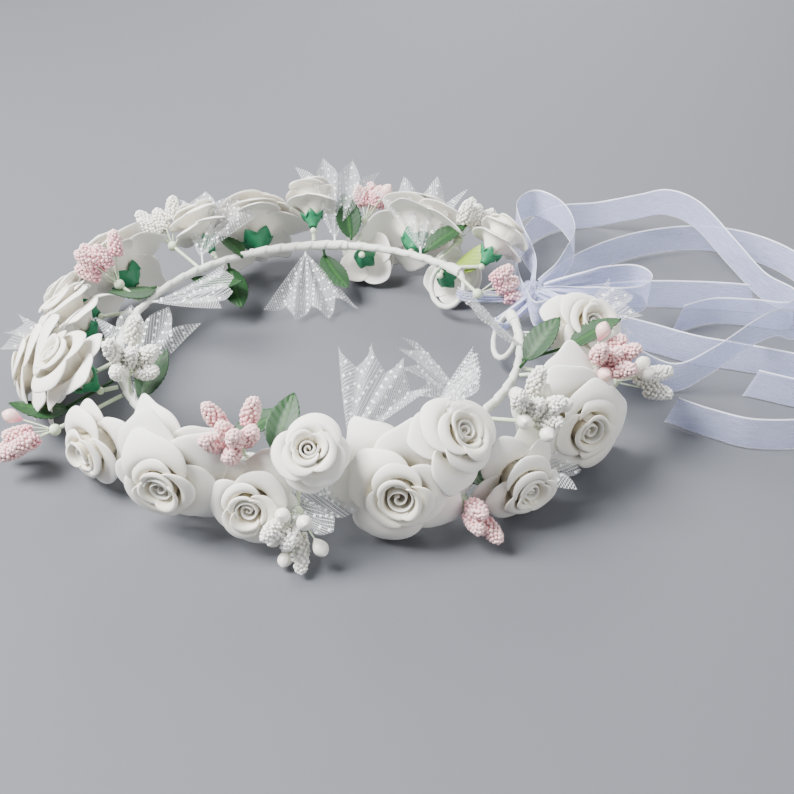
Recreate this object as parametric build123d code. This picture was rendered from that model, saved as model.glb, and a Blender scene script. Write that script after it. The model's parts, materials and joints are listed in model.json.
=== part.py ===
from build123d import *
import math
import os

# A bridal flower crown: a paper-wrapped wire band carrying foam roses, stamen sprays,
# fabric leaves and dotted tulle, tied at the back with organza ribbon.
# Millimetres, +Z up. The origin is the middle of the band's circle, on the surface the
# crown lies on.

os.makedirs("parts", exist_ok=True)

# ---------------------------------------------------------------- driving dimensions
band_radius = 86.0            # middle of the crown to the band's wire
band_first = 43.0             # angle round the crown where the left end of the band is
band_last = 374.0             # angle round the crown where the right end of the band is
wire_diameter = 2.2           # the steel wire inside the band
wrap_thickness = 0.9          # paper tape and bundled stems wound over the wire
seam_first = 84.0             # a second length of tape starts here
seam_last = 116.0
seam_thickness = 0.5

eyelet_across = 20.0          # each end loop, measured to the middle of its wire
eyelet_wire = 2.4             # the covered wire of the end loops
eyelet_tilt = 24.0            # how far the loops lean out of the upright
eyelet_setback = 0.5          # the loop's middle from the band's end, in loop radii
eyelet_hang = 0.86            # and how far it hangs below the band's end
collar_length = 7.0
collar_thickness = 0.5

large_across = 42.0           # the open roses
large_tall = 24.0
large_base = 15.0
large_top = 24.0
medium_across = 32.0          # the half-open roses
medium_tall = 22.0
medium_base = 12.0
medium_top = 18.0
small_across = 26.0           # the closed roses
small_tall = 20.0
small_base = 10.0
small_top = 14.0
calyx_tall = 4.0
neck_radius = 1.6             # the swelling where a stem enters its calyx
stem_diameter = 1.8

cone_across = 6.4             # the grained stamen heads
cone_tall = 10.0
bud_across = 4.6              # the smooth stamen heads
bud_tall = 8.0
head_tip_share = 0.45         # a stamen head's tip, beside its widest part
spray_wire = 0.6
spray_root = 1.6              # the twisted bundle that a spray's wires join in
spray_twist = 2.4             # radius of the twist where the wires part
spray_reaches = (9.0, 13.0)   # the heads of a spray stand at two distances, by turns
spray_turn = 137.5            # degrees from each head to the next, so that they spread evenly
spray_first_lean = 0.3        # keeps the first head a little off the middle

leaf_length = 24.0
leaf_width = 13.0
leaf_widest = 0.45            # where along its length a leaf is widest
leaf_thickness = 0.5
leaf_stalk = 1.0
stalk_overlap = 2.0           # how far a stalk runs on into its blade
tulle_length = 34.0
tulle_spread = 62.0           # opening angle of one gathered piece
tulle_thickness = 0.5

ribbon_width = 15.0
ribbon_thickness = 0.4
ribbon_steps = 36             # straight lengths that follow a ribbon's curve
knot_diameter = 12.0
knot_bearing = 26.0856        # angle round the crown where the knot is
knot_reach = 20.8878          # how far the knot is outside the band
swing_gap = 0.5               # between the knot and the tails that swing round it
level_gap = 1.5               # between the lower and the upper layer of ribbon
link_width = 5.0              # the ribbon gathered where it goes through an eyelet
link_thickness = 1.0

set_gap = 0.25                # between pieces that are pushed in beside each other

# ---------------------------------------------------------------- layout
# node, form, angle round the crown, reach outside the band, rise above the band,
# turn of the face from straight outward, tilt of the face above level
ROSES = (
    ("large_rose_1", "large", 289, 18, -2, -20, 12),
    ("large_rose_2", "large", 242, 21, 2, 12, -4),
    ("large_rose_3", "large", 190, 30, -2, -8, 12),
    ("large_rose_4", "large", 149, 31, 3, -7, 20),
    ("large_rose_5", "large", 111, 22, 4, -3, 25),
    ("large_rose_6", "large", 65, 22, 3, 5, 15),
    ("large_rose_7", "large", 329, 34, 1, -31, 8),
    ("medium_rose_1", "medium", 174, 23, 6, -14, 50),
    ("medium_rose_2", "medium", 203, 20, 13, -13, 50),
    ("medium_rose_3", "medium", 219, 20, -6, 11, 0),
    ("medium_rose_4", "medium", 259, 17, -5, 4, 8),
    ("medium_rose_5", "medium", 300, 20, 15, 22, 48),
    ("medium_rose_6", "medium", 312, 31, -7, -12, -5),
    ("medium_rose_7", "medium", 357, 26, 9, -52, 45),
    ("small_rose_1", "small", 163, 34, -2, -8, 15),
    ("small_rose_2", "small", 127, 17, 12, 0, 40),
    ("small_rose_3", "small", 95, 16, 16, 0, 40),
    ("small_rose_4", "small", 79, 10, -12, 0, -35),
    ("small_rose_5", "small", 42, 24, 9, 5, 35),
    ("small_rose_6", "small", 51, 10, -12, 8, -30),
    ("small_rose_7", "small", 271, 14, 15, 0, 50),
)

# node, grained heads, smooth heads, angle, reach, rise, turn, tilt, spread
SPRAYS = (
    ("pink_spray_1", 8, 0, 254, 5, 7, 0, 62, 38),
    ("pink_spray_2", 5, 1, 208, 31, -8, -8, 0, 34),
    ("pink_spray_3", 7, 0, 160, 12, 8, 10, 60, 38),
    ("pink_spray_4", 5, 2, 81, 24, 2, -10, 35, 34),
    ("pink_spray_5", 4, 0, 302, 22, -13, -8, 0, 24),
    ("pink_spray_6", 7, 2, 341, 30, 9, -10, 48, 40),
    ("pink_spray_7", 4, 0, 33, -2, -4, -10, 10, 28),
    ("white_spray_1", 7, 5, 268, 17, -10, 0, 0, 40),
    ("white_spray_2", 8, 5, 318, 22, 9, -10, 55, 42),
    ("white_spray_3", 9, 0, 211, 0, 13, 100, 55, 38),
    ("white_spray_4", 7, 0, 134, 22, 4, 0, 42, 36),
    ("white_spray_5", 5, 0, 53, 18, 4, 0, 45, 32),
    ("white_spray_6", 4, 2, 345, 40, 0, 6, 22, 34),
)

# node, angle, reach, rise, turn, tilt, roll
LEAVES = (
    ("leaves_front", 218, 0, 6, -150, 30, 0),
    ("leaves_front", 262, 2, 6, 150, 40, 20),
    ("leaves_front", 249, -3, 4, 125, 22, 10),
    ("leaves_side", 200, 22, -10, -4, 8, 0),
    ("leaves_side", 152, 2, 3, 60, 10, 10),
    ("leaves_side", 138, 0, -2, -140, -8, 0),
    ("leaves_back", 124, -1, -4, 165, -28, 0),
    ("leaves_back", 116, 0, -2, 60, 34, 0),
    ("leaves_back", 92, -1, -5, 200, -24, 10),
    ("leaves_back", 83, 2, 3, 20, 48, 0),
    ("leaves_back", 58, 2, 3, -30, 30, 0),
    ("leaves_back", 46, 3, -3, -40, 20, 20),
    ("leaves_side", 344, 4, 4, 60, 40, 0),
    ("leaves_side", 348, 20, 10, 12, 34, 10),
    ("leaves_side", 305, 6, -5, 6, 4, 0),
)

# node, angle, reach, rise, turn, tilt, roll
TULLE = (
    ("tulle_front", 316, 0, 6, -150, 52, 20),
    ("tulle_front", 262, 0, -9, -10, -4, 60),
    ("tulle_front", 280, 2, 8, 130, 58, 0),
    ("tulle_front", 298, 3, 8, 10, 62, 40),
    ("tulle_left", 214, 0, 5, -140, 42, 10),
    ("tulle_left", 158, -1, 0, 175, 6, 30),
    ("tulle_left", 172, 18, -6, 0, 10, 60),
    ("tulle_back", 98, -1, -3, 180, -24, 0),
    ("tulle_back", 133, 2, 5, -60, 36, 10),
    ("tulle_back", 88, 4, 6, 10, 50, 0),
    ("tulle_back", 60, 4, 4, 0, 40, 30),
    ("tulle_right", 309, 16, -10, 6, 0, 50),
    ("tulle_right", 354, 2, 2, -170, 40, 20),
    ("tulle_right", 4, 16, -2, -30, 16, 30),
)

# Every ribbon stands on its edge. Its points are x and y from the knot and how far its
# lower edge is above the surface. The tails lie on the surface and the bow's loops stand
# on the level above.
TAILS = (
    ("ribbon_tail_1", ((-4, 25, 0), (-3, 53, 0), (6, 81, 0), (22, 99, 0), (44, 104, 0),
                       (64, 95, 9), (77, 84, 17), (90, 69, 17), (104, 45, 8), (116, 27, 0),
                       (126, 11, 0), (120, -1, 0), (103, 2, 0), (85, 3, 0), (68, -5, 0))),
    ("ribbon_tail_2", ((8, 23, 0), (30, 49, 0), (62, 70, 0), (94, 77, 0), (120, 67, 0),
                       (138, 43, 0), (144, 8, 0), (142, -32, 0), (130, -69, 0), (110, -91, 0),
                       (84, -94, 0), (67, -87, 0), (52, -77, 0))),
    ("ribbon_tail_3", ((22, 13, 0), (52, 19, 0), (84, 18, 0), (108, 15, 0))),
    ("ribbon_tail_4", ((20, -5, 0), (39, -13, 0), (54, -21, 0), (70, -30, 0), (88, -36, 0),
                       (110, -44, 0), (125, -53, 0), (126, -65, 0), (114, -67, 0),
                       (90, -57, 0))),
    ("ribbon_tail_5", ((17, -11, 0), (32, -25, 0), (44, -43, 0), (58, -53, 0), (74, -51, 8),
                       (90, -45, 17), (104, -35, 17), (116, -23, 8), (132, -9, 0))),
)
LOOPS = (
    ("ribbon_loop_back", ((2, 19), (-2, 45), (-2, 71), (9, 84), (21, 69), (24, 41), (14, 15))),
    ("ribbon_loop_side", ((24, 2), (46, 5), (53, -4), (47, -14), (26, -15))),
    ("ribbon_loop_front", ((-3, -14), (-1, -27), (9, -21))),
)

# ---------------------------------------------------------------- worked-out sizes
wrap_diameter = wire_diameter + 2 * wrap_thickness
knot_tall = 2 * ribbon_width + level_gap
collar_angle = math.degrees(collar_length / band_radius)
collar_diameter = wrap_diameter + 2 * collar_thickness
UP = Vector(0, 0, 1)
FORMS = {
    "large": (large_across, large_tall, large_base, large_top),
    "medium": (medium_across, medium_tall, medium_base, medium_top),
    "small": (small_across, small_tall, small_base, small_top),
}


def heading(angle, tilt):
    """The unit direction at an angle round the crown, tilted above level."""
    level = math.cos(math.radians(tilt))
    x = level * math.cos(math.radians(angle))
    y = level * math.sin(math.radians(angle))
    return Vector(x, y, math.sin(math.radians(tilt)))


def station(angle, reach=0.0, rise=0.0):
    """A point beside the band. The band's own wire is at height 0 here."""
    return heading(angle, 0) * (band_radius + reach) + UP * rise


def facing_plane(point, along, roll=0.0):
    """A plane at a point whose +Z runs along a direction."""
    side = along.cross(UP)
    return Plane(origin=point, x_dir=side, z_dir=along).rotated((0, 0, roll))


def band_ring(outer, inner, first, last):
    """A round tube that follows the band between two angles."""
    section = Circle(outer / 2)
    if inner:
        section = section - Circle(inner / 2)
    ring = revolve(Plane.XZ * Pos(band_radius, 0) * section, Axis.Z, last - first)
    return Rot(0, 0, first) * ring


def head_shape(across, tall, base, top, grow=0.0):
    """A head that widens from its base to its middle and narrows again to its top."""
    half = tall / 2
    lower = Pos(0, 0, half / 2) * Cone(base / 2 + grow, across / 2 + grow, half)
    upper = Pos(0, 0, half * 1.5) * Cone(across / 2 + grow, top / 2 + grow, half)
    return lower + upper


def rod(start, end, diameter):
    """A straight round wire from one point to another."""
    along = end - start
    upright = (Align.CENTER, Align.CENTER, Align.MIN)
    return Plane(origin=start, z_dir=along) * Cylinder(diameter / 2, along.length, align=upright)


def off_band(point):
    """The point on the band's wrap that faces a point, or the nearer end's if it has none."""
    angle = math.degrees(math.atan2(point.Y, point.X)) % 360
    middle_of_gap = (band_first + band_last - 360) / 2
    if angle < middle_of_gap:
        angle += 360
    angle = min(max(angle, band_first + collar_angle), band_last - collar_angle)
    core = station(angle)
    return core + (point - core).normalized() * (collar_diameter / 2)


def boxes_meet(a, b):
    """Whether two bounding boxes share any space."""
    for low_a, high_a, low_b, high_b in (
        (a.min.X, a.max.X, b.min.X, b.max.X),
        (a.min.Y, a.max.Y, b.min.Y, b.max.Y),
        (a.min.Z, a.max.Z, b.min.Z, b.max.Z),
    ):
        if low_a > high_b or low_b > high_a:
            return False
    return True


placed = []                   # what each later piece has to be cut clear of


def keep_clear_of(shape):
    placed.append((shape.bounding_box(), shape))


def largest(shape):
    """The biggest solid left of a shape that its neighbours were cut out of."""
    return max(shape.solids(), key=lambda solid: solid.volume)


def fitted(shape):
    """A piece cut back wherever it would run into one that is already in place."""
    box = shape.bounding_box()
    for other_box, other in placed:
        if boxes_meet(box, other_box):
            shape = shape - other
    return largest(shape)


nodes = {}


def add(node, *solids):
    nodes.setdefault(node, []).extend(solids)


# ---------------------------------------------------------------- the band
add("band_wire", band_ring(wire_diameter, 0, band_first, band_last))
add("band_wrap", band_ring(wrap_diameter, wire_diameter, band_first, band_last))
seam_diameter = wrap_diameter + 2 * seam_thickness
add("band_seam", band_ring(seam_diameter, wrap_diameter, seam_first, seam_last))
keep_clear_of(band_ring(wrap_diameter, 0, band_first, band_last))
keep_clear_of(band_ring(seam_diameter, 0, seam_first, seam_last))


def eyelet(end_angle, toward_gap):
    """A covered wire loop that hangs from the band's end, with the point that a ribbon
    goes round and the plane that the loop lies in."""
    ring = eyelet_across / 2
    along = heading(end_angle + 90 * toward_gap, 0)
    inward = heading(end_angle + 180, 0)
    lean = math.radians(eyelet_tilt)
    down = inward * math.sin(lean) - UP * math.cos(lean)
    centre = station(end_angle) - along * (ring * eyelet_setback) + down * (ring * eyelet_hang)
    plane = Plane(origin=centre, x_dir=along, z_dir=along.cross(down))
    loop = plane * Torus(ring, eyelet_wire / 2)
    hold = centre + along * ring
    return loop, hold, plane


def link_strap(hold, plane):
    """A gathered strand of ribbon that goes round an eyelet's wire and back to the knot."""
    knot_point = station(knot_bearing, knot_reach, hold.Z)
    toward = knot_point - hold
    inner = eyelet_wire / 2 + set_gap
    outer = inner + link_thickness
    upright = plane.y_dir
    across = (toward - upright * toward.dot(upright))
    length = across.length
    strap_plane = Plane(origin=hold, x_dir=across, z_dir=upright)
    outline = Pos(length / 2, 0) * (SlotCenterToCenter(length, 2 * outer))
    hole = Pos(length / 2, 0) * (SlotCenterToCenter(length, 2 * inner))
    return extrude(strap_plane * (outline - hole), link_width / 2, both=True)


eyelets = {}
for side, end_angle, toward_gap in (("left", band_first, -1), ("right", band_last, 1)):
    loop, hold, plane = eyelet(end_angle, toward_gap)
    eyelets[side] = (hold, plane)
    loop = fitted(loop)
    add(side + "_eyelet", loop)
    start = end_angle if toward_gap < 0 else end_angle - collar_angle
    sleeve = band_ring(collar_diameter, wrap_diameter, start, start + collar_angle)
    add("end_bindings", largest(sleeve - loop))
    keep_clear_of(loop)
    keep_clear_of(band_ring(collar_diameter, 0, start, start + collar_angle))

# ---------------------------------------------------------------- rose stems and calyxes
rose_places = []
for node, form, angle, reach, rise, turn, tilt in ROSES:
    across, tall, base, top = FORMS[form]
    way = heading(angle + turn, tilt)
    foot = station(angle, reach, rise) - way * (tall / 2)
    rose_places.append((node, form, way, foot))
    neck = foot - way * calyx_tall
    ball = neck - way * neck_radius
    start = off_band(ball)
    end = ball - (ball - start).normalized() * neck_radius
    add("rose_stems", fitted(rod(start, end, stem_diameter)))
    add("rose_stems", fitted(Pos(*ball) * Sphere(neck_radius)))
    keep_clear_of(rod(start, end, stem_diameter + 2 * set_gap))
    keep_clear_of(Pos(*ball) * Sphere(neck_radius + set_gap))
    seat = facing_plane(neck, way)
    middle = seat * Pos(0, 0, calyx_tall / 2)
    calyx = middle * Cone(neck_radius, base / 2, calyx_tall)
    add("calyxes", fitted(calyx))
    keep_clear_of(middle * Cone(neck_radius + set_gap, base / 2 + set_gap, calyx_tall))

# ---------------------------------------------------------------- spray wires
spray_places = []


def spray_ways(count, plane, spread):
    """Directions that fan out evenly inside a cone about the plane's +Z."""
    for index in range(count):
        lean = spread * math.sqrt((index + spray_first_lean) / count)
        tip = Rot(0, 0, index * spray_turn) * Rot(0, lean, 0) * Pos(0, 0, 1)
        yield (plane * tip).position - plane.origin


for node, grained, smooth, angle, reach, rise, turn, tilt, spread in SPRAYS:
    way = heading(angle + turn, tilt)
    root = station(angle, reach, rise)
    start = off_band(root)
    end = root - (root - start).normalized() * spray_twist
    add("spray_stems", fitted(rod(start, end, spray_root)))
    add("spray_stems", fitted(Pos(*root) * Sphere(spray_twist)))
    keep_clear_of(rod(start, root, spray_root + 2 * set_gap))
    keep_clear_of(Pos(*root) * Sphere(spray_twist + set_gap))
    heads = []
    for index, head_way in enumerate(spray_ways(grained + smooth, facing_plane(root, way), spread)):
        end = root + head_way * spray_reaches[index % 2]
        heads.append((index < grained, root + head_way * spray_twist, end, head_way))
    spray_places.append((node, heads))

# ---------------------------------------------------------------- heads
for node, form, way, foot in rose_places:
    across, tall, base, top = FORMS[form]
    seat = facing_plane(foot, way)
    add(node, fitted(seat * head_shape(across, tall, base, top)))
    keep_clear_of(seat * head_shape(across, tall, base, top, set_gap))

for node, heads in spray_places:
    for grained, start, end, way in heads:
        across, tall = (cone_across, cone_tall) if grained else (bud_across, bud_tall)
        tip = across * head_tip_share
        head = facing_plane(end, way) * Pos(0, 0, tall / 2) * Cone(across / 2, tip / 2, tall)
        head = fitted(head)
        wire = fitted(rod(start, end, spray_wire))
        add(node, head)
        add("spray_stems", wire)
        keep_clear_of(head)
        keep_clear_of(wire)


# ---------------------------------------------------------------- leaves and tulle
def pinned(blade, angle, reach, rise, way):
    """A thin blade with the thin stalk that ties it to the band."""
    foot = station(angle, reach, rise)
    if (foot - station(angle)).length > wrap_diameter:
        blade = blade + rod(off_band(foot), foot + way * stalk_overlap, leaf_stalk)
    return blade


def leaf_blade():
    """A pointed oval, with its stalk end at the origin and its tip along +Z."""
    with BuildSketch(Plane.XZ) as outline:
        with BuildLine():
            ThreePointArc((0, 0), (leaf_width / 2, leaf_length * leaf_widest), (0, leaf_length))
            ThreePointArc((0, leaf_length), (-leaf_width / 2, leaf_length * leaf_widest), (0, 0))
        make_face()
    return extrude(outline.sketch, leaf_thickness / 2, both=True)


def tulle_fan():
    """A gathered fan, with its gathered end at the origin."""
    half = math.radians(tulle_spread / 2)
    side = (tulle_length * math.sin(half), tulle_length * math.cos(half))
    with BuildSketch(Plane.XZ) as outline:
        with BuildLine():
            Line((0, 0), side)
            ThreePointArc(side, (0, tulle_length), (-side[0], side[1]))
            Line((-side[0], side[1]), (0, 0))
        make_face()
    return extrude(outline.sketch, tulle_thickness / 2, both=True)


for places, make in ((LEAVES, leaf_blade), (TULLE, tulle_fan)):
    for node, angle, reach, rise, turn, tilt, roll in places:
        way = heading(angle + turn, tilt)
        plane = facing_plane(station(angle, reach, rise), way, roll)
        blade = pinned(plane * make(), angle, reach, rise, way)
        blade = fitted(blade)
        add(node, blade)
        keep_clear_of(blade)

# ---------------------------------------------------------------- set the crown down
lowest = min(solid.bounding_box().min.Z for solids in nodes.values() for solid in solids)
band_height = -lowest
raised = Pos(0, 0, band_height)
for node, solids in nodes.items():
    nodes[node] = [raised * solid for solid in solids]
placed = [(shape.bounding_box(), shape) for shape in (raised * old for box, old in placed)]

# ---------------------------------------------------------------- the ribbon
knot_middle = station(knot_bearing, knot_reach)
knot_place = Pos(*knot_middle)
upright_cylinder = (Align.CENTER, Align.CENTER, Align.MIN)
knot = knot_place * Cylinder(knot_diameter / 2, knot_tall, align=upright_cylinder)
add("ribbon_knot", fitted(knot))
keep_clear_of(knot)

for hold, plane in eyelets.values():
    lifted = Plane(origin=plane.origin + UP * band_height, x_dir=plane.x_dir, z_dir=plane.z_dir)
    strap = link_strap(hold + UP * band_height, lifted)
    strap = fitted(strap)
    add("ribbon_links", strap)
    keep_clear_of(strap)


def on_knot(point, gap):
    """Where a ribbon that heads for a point leaves the knot, and the way it leaves."""
    way = Vector(point[0], point[1], 0).normalized()
    place = knot_middle + way * (knot_diameter / 2 + gap)
    return place, way


def flat_face(corners):
    """A flat face with the given corners."""
    return Face(Wire.make_polygon(list(corners), close=True))


def ribbon(points, level, gap, closed):
    """A ribbon on its edge that starts at the knot, and ends there too if it is closed."""
    lift = UP * (level + ribbon_width / 2)
    first, leaving = on_knot(points[0], gap)
    route = [first + lift] + [knot_middle + Vector(x, y, z) + lift for x, y, z in points]
    ends = [leaving, (route[-1] - route[-2]).normalized()]
    if closed:
        last, back = on_knot(points[-1], gap)
        route.append(last + lift)
        ends[1] = -back
    path = Spline(route, tangents=ends)
    half_height = UP * (ribbon_width / 2)
    rings = []
    for step in range(ribbon_steps + 1):
        middle = path @ (step / ribbon_steps)
        along = path % (step / ribbon_steps)
        out = Vector(along.X, along.Y, 0).normalized().cross(UP) * (ribbon_thickness / 2)
        lower = (middle + out - half_height, middle - out - half_height)
        upper = (middle - out + half_height, middle + out + half_height)
        rings.append(lower + upper)
    faces = [flat_face(rings[0]), flat_face(rings[-1])]
    for ring, following in zip(rings, rings[1:]):
        for corner in range(4):
            beside = (corner + 1) % 4
            faces.append(flat_face((ring[corner], ring[beside], following[beside])))
            faces.append(flat_face((ring[corner], following[beside], following[corner])))
    return Solid(Shell(faces))


for node, points in LOOPS:
    flat = [(x, y, 0) for x, y in points]
    add(node, ribbon(flat, ribbon_width + level_gap, 0.0, True).solid())
for node, points in TAILS:
    add(node, ribbon(points, 0.0, swing_gap, False).solid())

for node, solids in nodes.items():
    shape = solids[0] if len(solids) == 1 else Compound(children=solids)
    export_step(shape, f"parts/{node}.step")
print(f"band height {band_height:.2f}, {len(nodes)} nodes")
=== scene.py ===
# %% [markdown]
# # A bridal flower crown
# A wire ring wound with paper tape carries foam roses, stamen sprays, leaves and dotted
# tulle, and organza ribbon ties it at the back. The CAD frame gives every place and size
# here. This file gives each piece its real surface, one kind of piece at a time.

# %% Load the frame
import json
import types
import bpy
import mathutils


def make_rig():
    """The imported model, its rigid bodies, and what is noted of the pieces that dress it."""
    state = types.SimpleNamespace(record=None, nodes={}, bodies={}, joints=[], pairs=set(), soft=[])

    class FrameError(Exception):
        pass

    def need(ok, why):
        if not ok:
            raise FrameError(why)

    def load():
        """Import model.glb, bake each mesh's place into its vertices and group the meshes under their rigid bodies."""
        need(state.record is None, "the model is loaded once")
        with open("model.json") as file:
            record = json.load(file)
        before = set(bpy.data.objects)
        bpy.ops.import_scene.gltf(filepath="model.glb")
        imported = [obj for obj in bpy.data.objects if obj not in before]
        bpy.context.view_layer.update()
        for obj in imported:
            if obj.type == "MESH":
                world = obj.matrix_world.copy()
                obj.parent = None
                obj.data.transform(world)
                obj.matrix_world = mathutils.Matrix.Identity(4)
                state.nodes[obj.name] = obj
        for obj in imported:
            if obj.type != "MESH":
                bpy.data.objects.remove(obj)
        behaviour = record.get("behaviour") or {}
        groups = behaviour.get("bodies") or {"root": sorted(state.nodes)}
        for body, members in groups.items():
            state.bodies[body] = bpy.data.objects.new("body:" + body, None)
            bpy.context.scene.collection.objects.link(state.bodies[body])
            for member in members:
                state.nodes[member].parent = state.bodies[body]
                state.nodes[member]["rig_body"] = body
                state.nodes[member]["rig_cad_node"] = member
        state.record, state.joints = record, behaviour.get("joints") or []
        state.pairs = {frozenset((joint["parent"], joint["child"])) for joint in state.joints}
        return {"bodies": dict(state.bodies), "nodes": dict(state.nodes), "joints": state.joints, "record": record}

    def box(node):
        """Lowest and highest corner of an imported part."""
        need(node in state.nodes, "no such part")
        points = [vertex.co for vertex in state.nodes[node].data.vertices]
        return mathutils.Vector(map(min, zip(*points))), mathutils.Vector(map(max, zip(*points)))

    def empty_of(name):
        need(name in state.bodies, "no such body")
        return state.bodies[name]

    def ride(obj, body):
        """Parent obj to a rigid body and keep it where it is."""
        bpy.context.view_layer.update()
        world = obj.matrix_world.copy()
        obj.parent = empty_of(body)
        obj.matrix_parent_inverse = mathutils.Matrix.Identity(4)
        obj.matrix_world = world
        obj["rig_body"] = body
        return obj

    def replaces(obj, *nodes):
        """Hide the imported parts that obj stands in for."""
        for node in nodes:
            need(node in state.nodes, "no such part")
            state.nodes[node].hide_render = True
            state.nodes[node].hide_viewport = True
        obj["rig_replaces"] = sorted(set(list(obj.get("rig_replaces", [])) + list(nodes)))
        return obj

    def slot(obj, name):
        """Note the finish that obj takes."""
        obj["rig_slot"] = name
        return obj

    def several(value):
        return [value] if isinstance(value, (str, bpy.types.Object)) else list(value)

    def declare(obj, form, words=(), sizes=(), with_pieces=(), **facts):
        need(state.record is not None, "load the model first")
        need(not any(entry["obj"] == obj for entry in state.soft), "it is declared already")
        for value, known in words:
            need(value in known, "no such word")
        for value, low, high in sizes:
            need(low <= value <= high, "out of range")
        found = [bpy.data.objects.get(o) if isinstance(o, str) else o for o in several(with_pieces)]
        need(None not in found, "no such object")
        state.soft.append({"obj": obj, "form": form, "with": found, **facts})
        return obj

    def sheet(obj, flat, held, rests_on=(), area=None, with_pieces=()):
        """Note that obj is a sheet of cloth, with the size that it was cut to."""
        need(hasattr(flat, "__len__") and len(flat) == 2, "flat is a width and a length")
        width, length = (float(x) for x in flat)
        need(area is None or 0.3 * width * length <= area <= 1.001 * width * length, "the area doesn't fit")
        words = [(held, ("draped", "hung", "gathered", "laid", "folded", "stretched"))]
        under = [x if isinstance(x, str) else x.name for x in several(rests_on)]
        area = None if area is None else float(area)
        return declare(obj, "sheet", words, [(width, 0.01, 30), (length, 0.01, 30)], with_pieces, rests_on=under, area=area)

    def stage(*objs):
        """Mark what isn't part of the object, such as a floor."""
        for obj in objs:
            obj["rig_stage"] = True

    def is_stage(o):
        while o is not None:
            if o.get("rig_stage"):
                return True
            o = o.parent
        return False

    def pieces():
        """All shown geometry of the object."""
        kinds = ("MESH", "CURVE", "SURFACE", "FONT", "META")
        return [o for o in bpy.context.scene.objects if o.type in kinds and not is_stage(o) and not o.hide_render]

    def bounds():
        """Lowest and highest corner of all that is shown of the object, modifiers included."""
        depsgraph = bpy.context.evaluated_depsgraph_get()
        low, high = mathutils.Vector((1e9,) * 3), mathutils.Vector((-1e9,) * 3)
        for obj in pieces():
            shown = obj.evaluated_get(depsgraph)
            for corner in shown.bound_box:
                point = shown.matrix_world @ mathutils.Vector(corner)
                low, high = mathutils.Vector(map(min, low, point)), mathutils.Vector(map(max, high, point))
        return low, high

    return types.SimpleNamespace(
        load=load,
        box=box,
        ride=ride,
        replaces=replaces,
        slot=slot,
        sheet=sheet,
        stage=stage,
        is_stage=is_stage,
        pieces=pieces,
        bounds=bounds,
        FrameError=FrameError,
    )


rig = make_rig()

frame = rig.load()

import json
import math
import random

import bmesh
import bpy
from mathutils import Matrix, Vector

CAD_BOX = [list(corner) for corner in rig.bounds()]
MM = 0.001
UP = Vector((0, 0, 1))
RECORD = frame["record"]
print("nodes", len(frame["nodes"]), "box", CAD_BOX)

# %% [markdown]
# ## Small helpers
# Every piece below is a list of points and faces. One helper turns them into an object,
# gives it a finish and lets it ride with the crown or with the ribbon's tails.


# %% Make an object from points and faces
def piece(name, points, faces, finish, body="crown", smooth=True, thickness=0.0, rounds=0):
    mesh = bpy.data.meshes.new(name)
    mesh.from_pydata([tuple(p) for p in points], [], faces)
    mesh.update()
    obj = bpy.data.objects.new(name, mesh)
    bpy.context.scene.collection.objects.link(obj)
    if smooth:
        mesh.shade_smooth()
    for material in finish if isinstance(finish, tuple) else (finish,):
        mesh.materials.append(material)
    if thickness:
        wall = obj.modifiers.new("wall", "SOLIDIFY")
        wall.thickness = thickness
        wall.offset = 0.0
    if rounds:
        soft = obj.modifiers.new("soft", "SUBSURF")
        soft.levels = rounds
        soft.render_levels = rounds
    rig.ride(obj, body)
    return obj


# %% Keep soft pieces off the table
TABLE = CAD_BOX[0][2]


def above_table(point, ease=4.0 * MM, clear=0.6 * MM):
    """Whatever would sink into the table bends level just above it."""
    start = TABLE + clear + ease
    if point.z >= start:
        return point
    return Vector((point.x, point.y, TABLE + clear + ease * math.exp((point.z - start) / ease)))


# %% Join several pieces' points and faces into one list
class Heap:
    """Points and faces that are gathered up for one object."""

    def __init__(self):
        self.points = []
        self.faces = []
        self.shades = []
        self.kinds = []

    def add(self, points, faces, shades=None, kind=0):
        first = len(self.points)
        self.points.extend(points)
        self.faces.extend([tuple(first + i for i in face) for face in faces])
        self.shades.extend(shades if shades else [0.0] * len(points))
        self.kinds.extend([kind] * len(faces))

    def build(self, name, finish, **options):
        points = [above_table(point) for point in self.points]
        obj = piece(name, points, self.faces, finish, **options)
        layer = obj.data.color_attributes.new("depth", "FLOAT_COLOR", "POINT")
        for index, shade in enumerate(self.shades):
            layer.data[index].color = (shade, shade, shade, 1.0)
        for face, kind in zip(obj.data.polygons, self.kinds):
            face.material_index = kind
        return obj


def around(angle, out, height):
    """A point at an angle round +Z, at a distance out from it and a height along it."""
    return Vector((math.cos(angle) * out, math.sin(angle) * out, height))


def grid_faces(rows, columns, closed=False):
    """Quads over a grid of rows by columns of points."""
    faces = []
    last = columns if closed else columns - 1
    for row in range(rows - 1):
        for column in range(last):
            beside = (column + 1) % columns
            low = row * columns
            faces.append((low + column, low + beside, low + columns + beside, low + columns + column))
    return faces


# %% [markdown]
# ## Reading places off the frame
# The CAD heads are plain cones. Their flat ends tell where each flower stands and which
# way it looks: the largest flat end of a rose is its open top, and the largest flat end
# of a stamen head is its foot.


# %% Split a node into its separate solids
WELD = 1e-6                        # points nearer than this, in metres, are one point
SAME_WAY = 0.9995                  # normals with a larger dot product face the same way
TIE = 5e-6                         # areas that differ by a smaller share count as equal


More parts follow.
